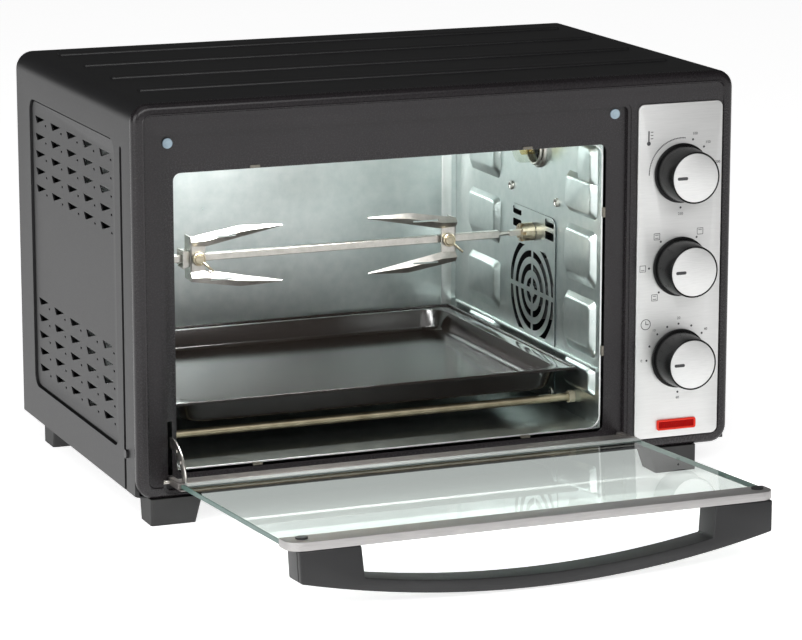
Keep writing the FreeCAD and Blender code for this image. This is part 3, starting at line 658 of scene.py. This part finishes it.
# Fan, motors and control units.
# Zinc-plated housings and black moulded units, seen only through slots and from behind.
zinc_plate = metal("zinc_plated_steel", "8E9090", "A5A7A6", 0.36, 0.06, 7.0, bump=0.04)
unit_plastic = painted("moulded_phenolic", "262626", "2E2D2C", 1.0, 0.5, 0.1)
for name in ("fan_motor", "spit_motor", "fan_impeller"):
    dress(name, zinc_plate)
for name in ("thermostat_unit", "function_unit", "timer_unit", "cord_gland"):
    dress(name, unit_plastic)
dress("indicator_lamp", warm_glass)


# Control panel.
# A brushed stainless facia, let into the bezel with a narrow dark gap round it. Its marks
# are screen printed in dark grey ink.
brushed = metal("brushed_stainless_facia", "DEDEDD", "E4E4E3", 0.55, 0.03, 0.9, stretch=(0.06, 1, 1),
                bump=0.02)
panel = cuboid("control_facia", (416.3, 489.9), (-8.8, -7.0), (7.5, 278.6))
round_edges(panel, along("y"), 5.0, 5)
cut(panel, [cuboid("lens_way", (436.6, 469.7), (-12, -4), (14.1, 21.4))])
soften(panel, 0.35, 2, 50)
finish_piece(panel, "oven", brushed, ["control_panel"])

ink = painted("screen_printed_ink", "3A3A3C", "444446", 1.0, 0.6, 0.02)
KNOB_X = 454.0
KNOB_Z = {"thermostat": 222.5, "function": 147.0, "timer": 72.0}
INK_BACK, INK_FACE = -8.75, -8.87


def dial_point(z, clock_hours, radius):
    turn = math.radians(90 - clock_hours * 30)
    return KNOB_X + radius * math.cos(turn), z + radius * math.sin(turn)


def printed_dot(x, z, radius=0.9):
    dot = tube("dot", "y", (x, INK_BACK, z), INK_FACE - INK_BACK, radius, 16)
    soften(dot, 0.03, 1)
    return dot


def printed_bar(x, z):
    bar = cuboid("bar", x, (INK_FACE, INK_BACK), z)
    soften(bar, 0.03, 1)
    return bar


def printed_ring(x, z, outer, inner):
    ring = tube("ring", "y", (x, INK_BACK, z), INK_FACE - INK_BACK, outer, 48)
    cut(ring, [tube("way", "y", (x, -12, z), 8, inner, 48)])
    return ring


def printed_words(text, x, z, size):
    bpy.ops.object.text_add(location=place(x, INK_FACE, z), rotation=(math.pi / 2, 0, 0))
    words = bpy.context.active_object
    words.data.body = text
    words.data.size = size * MM
    words.data.align_x = "CENTER"
    words.data.align_y = "CENTER"
    words.data.extrude = 0.05 * MM
    only(words)
    bpy.ops.object.convert(target="MESH")
    return settled("words")


def printed_frame(x, z, half=2.5, line=0.45):
    return [printed_bar((x - half, x + half), (z + sign * half - line / 2, z + sign * half + line / 2))
            for sign in (1, -1)] + \
           [printed_bar((x + sign * half - line / 2, x + sign * half + line / 2), (z - half, z + half))
            for sign in (1, -1)]


marks = []
z = KNOB_Z["thermostat"]
for step in range(37):
    x_at, z_at = dial_point(z, 9.0 + step * 3.2 / 36, 28.0)
    marks.append(printed_dot(x_at, z_at, 0.55))
for hours, label in ((0.7, "100"), (1.5, "150"), (2.6, "200"), (6.0, "250")):
    marks.append(printed_dot(*dial_point(z, hours, 28.0)))
    marks.append(printed_words(label, *dial_point(z, hours, 33.0), 3.0))
marks += [printed_bar((424.6, 425.8), (248.5, 257.5)), printed_dot(425.2, 247.5, 1.7),
          printed_bar((426.8, 429.0), (253.6, 254.2)), printed_bar((426.8, 429.0), (256.2, 256.8)),
          printed_bar((426.8, 429.0), (251.0, 251.6))]
z = KNOB_Z["function"]
for hours, upper, lower in ((1.1, True, False), (9.0, False, True), (10.7, True, True), (7.4, True, True)):
    marks.append(printed_dot(*dial_point(z, hours, 27.0)))
    x_at, z_at = dial_point(z, hours, 32.5)
    marks += printed_frame(x_at, z_at)
    if upper:
        marks.append(printed_bar((x_at - 1.5, x_at + 1.5), (z_at + 1.0, z_at + 1.5)))
    if lower:
        marks.append(printed_bar((x_at - 1.5, x_at + 1.5), (z_at - 1.5, z_at - 1.0)))
z = KNOB_Z["timer"]
marks.append(printed_ring(424.8, 101.5, 4.4, 3.8))
marks += [printed_bar((424.5, 425.1), (101.3, 104.3)), printed_bar((424.5, 427.4), (101.2, 101.8))]
for hours, label in ((9.0, "0"), (9.8, ""), (10.6, "10"), (11.3, ""), (12.0, "20"), (12.8, ""), (13.6, "40"),
                     (18.0, "60")):
    marks.append(printed_dot(*dial_point(z, hours, 28.0)))
    if label:
        marks.append(printed_words(label, *dial_point(z, hours, 32.6), 3.0))
finish_piece(joined("facia_marks", marks), "oven", ink)


# Indicator lens.
# Clear red acrylic, polished, with a deep border and a ribbed middle that catches light.
def red_acrylic(name, colour, glow):
    material, coordinates = new_material(name)
    rib = add_node(material, "ShaderNodeTexWave", {"Vector": (coordinates, "Object")}, Scale=160.0)
    normal = add_node(material, "ShaderNodeBump", {"Height": (rib, 0)}, Strength=0.25, Distance=0.0004)
    shader = add_node(material, "ShaderNodeBsdfPrincipled", {"Normal": (normal, 0)}, Roughness=0.14, IOR=1.49)
    shader.inputs["Base Color"].default_value = hex_colour(colour)
    shader.inputs["Emission Color"].default_value = hex_colour(colour)
    shader.inputs["Emission Strength"].default_value = glow
    shader.inputs["Specular IOR Level"].default_value = 0.05
    return finish_material(material, shader)


lens_border = red_acrylic("clear_red_acrylic", "C9352A", 0.25)
lens_middle = red_acrylic("ribbed_red_acrylic", "8A0705", 0.25)
lens = cuboid("indicator_window", (436.0, 470.3), (-10.0, -6.0), (13.5, 22.0))
round_edges(lens, along("y"), 1.8, 4)
pick(lens, "faces", facing("y", -1))
inset((1.1, 0), (0.5, -0.5))
leave()
soften(lens, 0.2, 2)
finish_piece(lens, "oven", lens_border, ["indicator_lens"])
lens.data.materials.append(lens_middle)
middle_plane = place(0, -9.5, 0).y
for face in lens.data.polygons:
    inside = abs(face.center.y - middle_plane) < 1e-4 and face.normal.y < -0.9
    face.material_index = 1 if inside else 0


# Control knobs.
# Black moulded ABS grips with a low skirt, each with a brushed metal disc let into its
# front inside a thin rim, and a short dark pointer stamped in the disc.
knob_plastic = painted("moulded_abs", "0E0E0F", "141414", 1.4, 0.24, 0.04, 0.2)
disc_steel = metal("spun_aluminium_disc", "E0E0DF", "E9E9E8", 0.5, 0.04, 0.8, stretch=(0.08, 1, 1), bump=0.04)
KNOB_BACK, KNOB_FRONT = -9.3, -35.3
for name, height in KNOB_Z.items():
    skirt = tube("skirt", "y", (KNOB_X, KNOB_BACK, height), -2.2, 24.0, 96)
    soften(skirt, 0.8, 3)
    grip = tube("grip", "y", (KNOB_X, KNOB_BACK - 1.0, height), KNOB_FRONT - KNOB_BACK + 1.0, 22.4, 96)
    pick(grip, "faces", facing("y", -1))
    bpy.ops.transform.resize(value=(20.7 / 22.4, 1, 20.7 / 22.4),
                             center_override=place(KNOB_X, KNOB_FRONT, height))
    inset((1.1, 0), (0.1, -0.9))
    leave()
    soften(grip, 0.5, 3, 40)
    finish_piece(joined(f"{name}_grip", [skirt, grip]), name, knob_plastic, [f"{name}_knob"])
    disc = tube(f"{name}_disc", "y", (KNOB_X, KNOB_FRONT + 0.9, height), -0.75, 19.45, 96)
    soften(disc, 0.3, 2)
    finish_piece(disc, name, disc_steel, [f"{name}_knob_cap"])
    dash = cuboid(f"{name}_pointer", (KNOB_X - 16.0, KNOB_X - 7.0), (KNOB_FRONT - 0.05, KNOB_FRONT + 0.5),
                  (height - 1.25, height + 1.25))
    round_edges(dash, along("y"), 1.1, 4)
    soften(dash, 0.08, 1)
    finish_piece(dash, name, ink)


# Door glass.
# One pane of 4 mm toughened float glass with ground edges, which look green end on. The
# door is drawn flat from its hinge line and then turned to where the open door rests.
door_joint = next(joint for joint in frame["joints"] if joint["name"] == "door_hinge")
hinge = Vector(door_joint["pos_m"])
hinge_y = (hinge.y - front_seam) / MM
hinge_z = (hinge.z - underside) / MM
rise = math.radians(90 - max(door_joint["range_deg"]))
DOOR_X, DOOR_LENGTH = (27.0, 406.0), 262.0


def door_cuboid(name, x, reach, across):
    """A box in the door's own lie: distance from the hinge line, and height over it."""
    return cuboid(name, x, (hinge_y - reach[1], hinge_y - reach[0]),
                  (hinge_z + across[0], hinge_z + across[1]))


def swing(piece):
    piece.data.transform(Matrix.Translation(hinge)
                         @ Matrix.Rotation(-rise, 4, "X") @ Matrix.Translation(-hinge))
    return piece


def free_corner(edge):
    far = place(0, hinge_y - DOOR_LENGTH + 3.0, 0).y
    return along("z")(edge) and edge.verts[0].co.y < far


float_glass = clear_glass("toughened_float_glass", "EDF1EF", 0.015)
ground_edge, coordinates = new_material("ground_glass_edge")
cloudy = add_node(ground_edge, "ShaderNodeTexNoise", {"Vector": (coordinates, "Object")}, Scale=900.0,
                  Detail=2.0)
edge_tint = blend(ground_edge, cloudy, "3C5750", "64827A", (0.0, 1.0))
edge_shader = add_node(ground_edge, "ShaderNodeBsdfPrincipled", {"Base Color": (edge_tint, 0)}, Roughness=0.3)
finish_material(ground_edge, edge_shader)

pane = door_cuboid("door_pane", DOOR_X, (22.0, DOOR_LENGTH - 1.6), (-1.4, 2.6))
round_edges(pane, free_corner, 12.0, 8)
soften(pane, 0.35, 1, 50)
swing(pane)
finish_piece(pane, "door", float_glass, ["door_glass"])
pane.data.materials.append(ground_edge)
upward = Vector((0, math.sin(rise), math.cos(rise)))
for face in pane.data.polygons:
    face.material_index = 0 if abs(face.normal.dot(upward)) > 0.9 else 1


# Door trims and hinge levers.
# Rolled aluminium channels grip the glass's two long edges: a dull one at the
# hinge with a lever at each end and a bead beside it on the glass, and a broad bright one
# with rounded ends at the handle.
anodised = metal("satin_anodised_aluminium", "BDBBBA", "CAC8C7", 0.6, 0.04, 1.0, stretch=(0.05, 1, 1),
                 bump=0.05)
lower = door_cuboid("lower_door_channel", (25.0, 406.2), (19.5, 28.0), (-2.6, 3.8))
cut(lower, [door_cuboid("way", (20, 410), (21.7, 40.0), (-1.45, 2.65))])
cut(lower, [door_cuboid("web_relief", (20, 410), (10.0, 20.2), (-1.6, 2.8))])
soften(lower, 0.4, 2)
shelf = door_cuboid("shelf", (30.0, 400.0), (3.0, 20.0), (1.2, 2.4))
soften(shelf, 0.3, 2)
levers = []
for x in ((24.8, 29.4), (401.6, 406.2)):
    lever = door_cuboid("lever", x, (-2.5, 21.5), (-2.4, 3.4))
    round_edges(lever, lambda e: along("x")(e), 1.6, 3)
    soften(lever, 0.25, 1)
    levers.append(lever)
lower = joined("lower_door_channel", [lower, shelf] + levers)
swing(lower)
mill_finish = metal("mill_finish_aluminium", "7F7B78", "8D8986", 0.5, 0.04, 1.0, stretch=(0.05, 1, 1),
                    bump=0.05)
finish_piece(lower, "door", mill_finish, ["door_bottom_profile"])

bead = door_cuboid("glass_bead", (27.5, 405.5), (27.0, 36.5), (2.7, 3.7))
soften(bead, 0.4, 3)
swing(bead)
silver_lacquer = painted("silver_lacquer", "8F9391", "9A9E9C", 1.0, 0.5, 0.02)
finish_piece(bead, "door", silver_lacquer)

upper = door_cuboid("upper_door_channel", (26.5, 406.5), (239.0, DOOR_LENGTH), (-2.6, 3.8))
round_edges(upper, free_corner, 12.0, 8)
way = door_cuboid("way", (27.5, 405.5), (220.0, DOOR_LENGTH - 1.3), (-1.45, 2.65))
round_edges(way, lambda e: along("z")(e) and e.verts[0].co.y < place(0, hinge_y - 250, 0).y, 11.0, 6)
cut(upper, [way])
soften(upper, 0.45, 3)
swing(upper)
finish_piece(upper, "door", anodised, ["door_top_trim"])


# Handle.
# A bow moulded in black nylon with a fine matte grain: two broad posts stand on the trim
# and a deep bar arches between them, with a narrow groove down each post near its front.
def plate(name, corners, shift):
    """A flat outline drawn out by a shift, both in millimetres."""
    bpy.ops.mesh.primitive_circle_add(vertices=len(corners), fill_type="NGON", radius=1)
    piece = bpy.context.active_object
    piece.name = name
    for vertex, corner in zip(piece.data.vertices, corners):
        vertex.co = place(*corner)
    pick(piece, "faces", lambda face: True)
    bpy.ops.mesh.extrude_region_move(TRANSFORM_OT_translate={"value": tuple(part * MM for part in shift)})
    leave()
    outward(piece)
    return piece

def bow(left, middle, right, count):
    """Points on the arc through three points, both ends included."""
    (x1, z1), (x2, z2), (x3, z3) = left, middle, right
    chord, sag = (x3 - x1) / 2, (z1 - z2)
    radius = (chord ** 2 + sag ** 2) / (2 * sag)
    centre_x, centre_z = (x1 + x3) / 2, z2 + radius
    half = math.asin(chord / radius)
    return [(centre_x + radius * math.sin(turn), centre_z - radius * math.cos(turn))
            for turn in (-half + 2 * half * step / (count - 1) for step in range(count))]


HANDLE_X, HANDLE_REACH, POST = (33.5, 403.0), (236.0, 262.0), 46.5
seat_z, end_z = hinge_z - 2.7, hinge_z - 26.0
left_x, right_x = HANDLE_X
middle_x = sum(HANDLE_X) / 2
outline = [(left_x, seat_z)]
outline += bow((left_x + 0.8, end_z), (middle_x, hinge_z - 47.2), (right_x - 0.8, end_z), 40)
outline += [(right_x, seat_z), (right_x - POST, seat_z)]
outline += bow((left_x + POST + 2, end_z), (middle_x, hinge_z - 37.6), (right_x - POST - 2, end_z), 34)[::-1]
outline += [(left_x + POST, seat_z)]
front = hinge_y - HANDLE_REACH[1]
handle = plate("bow_handle", [(x, front, z) for x, z in outline], (0, HANDLE_REACH[1] - HANDLE_REACH[0], 0))
soften(handle, 1.3, 3, 30)
grooves = []
for x in (left_x + 0.2, right_x - 0.2):
    grooves.append(cuboid("groove", (x - 0.9, x + 0.9), (front + 5.0, front + 6.4),
                          (end_z - 5, seat_z - 1.0)))
cut(handle, grooves)
nylon_grain = painted("moulded_black_nylon", "222223", "2A2A2B", 1.0, 0.46, 0.12)
swing(handle)
finish_piece(handle, "door", nylon_grain, ["door_handle"])


# Door stay.
# A quarter plate of plated strip that stands on the door and slides into the bezel. Its
# rim is bright, and two rivets hold it to the hinge lever.
def polar(radius, angle):
    turn = math.radians(angle)
    return hinge_y - radius * math.cos(turn), hinge_z + radius * math.sin(turn)


arc = [polar(34.0, 9 + step * 91 / 20) for step in range(21)]
arc += [polar(25.5, 100 - step * 91 / 20) for step in range(21)]
stay = plate("stay", [(27.2, y, z) for y, z in arc], (1.5, 0, 0))
soften(stay, 0.3, 2, 50)
rivets = []
for angle in (40, 62):
    y, z = polar(29.6, angle)
    rivet = tube("rivet", "x", (27.3, y, z), -1.0, 1.5, 20)
    soften(rivet, 0.4, 2)
    rivets.append(rivet)
stay = joined("door_stay_plate", [stay] + rivets)
swing(stay)
finish_piece(stay, "door", bright_plate, ["door_stay"])


# Floor, camera and light.
# A pale seamless floor that glows a little, a broad soft light on the left, another above
# and in front, and a small one under the roof that lights the cavity.
bpy.ops.mesh.primitive_plane_add(size=1, location=(0, 0, 0))
floor = bpy.context.active_object
floor.name = "studio_floor"
floor.scale = (60, 60, 1)
only(floor)
bpy.ops.object.transform_apply(location=False, rotation=False, scale=True)
pale, coordinates = new_material("pale_paper_sweep")
fibre = add_node(pale, "ShaderNodeTexNoise", {"Vector": (coordinates, "Object")}, Scale=40.0)
tone = blend(pale, fibre, "F4F4F4", "F8F8F8", (0.0, 1.0))
paper = add_node(pale, "ShaderNodeBsdfPrincipled", {"Base Color": (tone, 0)}, Roughness=0.9)
paper.inputs["Specular IOR Level"].default_value = 0.0
paper.inputs["Emission Color"].default_value = (1, 1, 1, 1)
paper.inputs["Emission Strength"].default_value = 0.78
floor.data.materials.append(finish_material(pale, paper))

camera_data = bpy.data.cameras.new("camera")
camera_data.sensor_width = 36.0
camera_data.lens = 157.7
camera_data.clip_end = 100.0
camera = bpy.data.objects.new("camera", camera_data)
camera.location = place(-780.5, -2471.4, 700.3)
camera.rotation_euler = (math.pi / 2 - 0.2142, 0.0, -0.384)
bpy.context.scene.collection.objects.link(camera)
bpy.context.scene.camera = camera


def soft_light(name, location, target, size, power):
    data = bpy.data.lights.new(name, "AREA")
    data.shape = "RECTANGLE"
    data.size, data.size_y = size
    data.energy = power
    lamp = bpy.data.objects.new(name, data)
    lamp.location = location
    lamp.rotation_euler = (Vector(target) - Vector(location)).to_track_quat("-Z", "Y").to_euler()
    bpy.context.scene.collection.objects.link(lamp)


soft_light("left_bank", (-2.6, -0.9, 1.0), (0, 0, 0.15), (2.2, 1.4), 30)
soft_light("front_bank", (-0.4, -2.4, 1.6), (0, 0.1, 0.18), (2.6, 1.0), 36)
soft_light("cavity_fill", tuple(place(160, 40, 262)), tuple(place(170, 230, 80)), (0.24, 0.03), 3.1)
sun_data = bpy.data.lights.new("broad_sky", "SUN")
sun_data.energy = 0.35
sun_data.angle = math.radians(60)
sun = bpy.data.objects.new("broad_sky", sun_data)
sun.rotation_euler = (math.radians(10), math.radians(-16), 0)
bpy.context.scene.collection.objects.link(sun)

world = bpy.data.worlds.new("studio")
world.use_nodes = True
world.node_tree.nodes["Background"].inputs["Color"].default_value = (1, 1, 1, 1)
world.node_tree.nodes["Background"].inputs["Strength"].default_value = 0.05
bpy.context.scene.world = world
bpy.context.scene.view_settings.view_transform = "Standard"
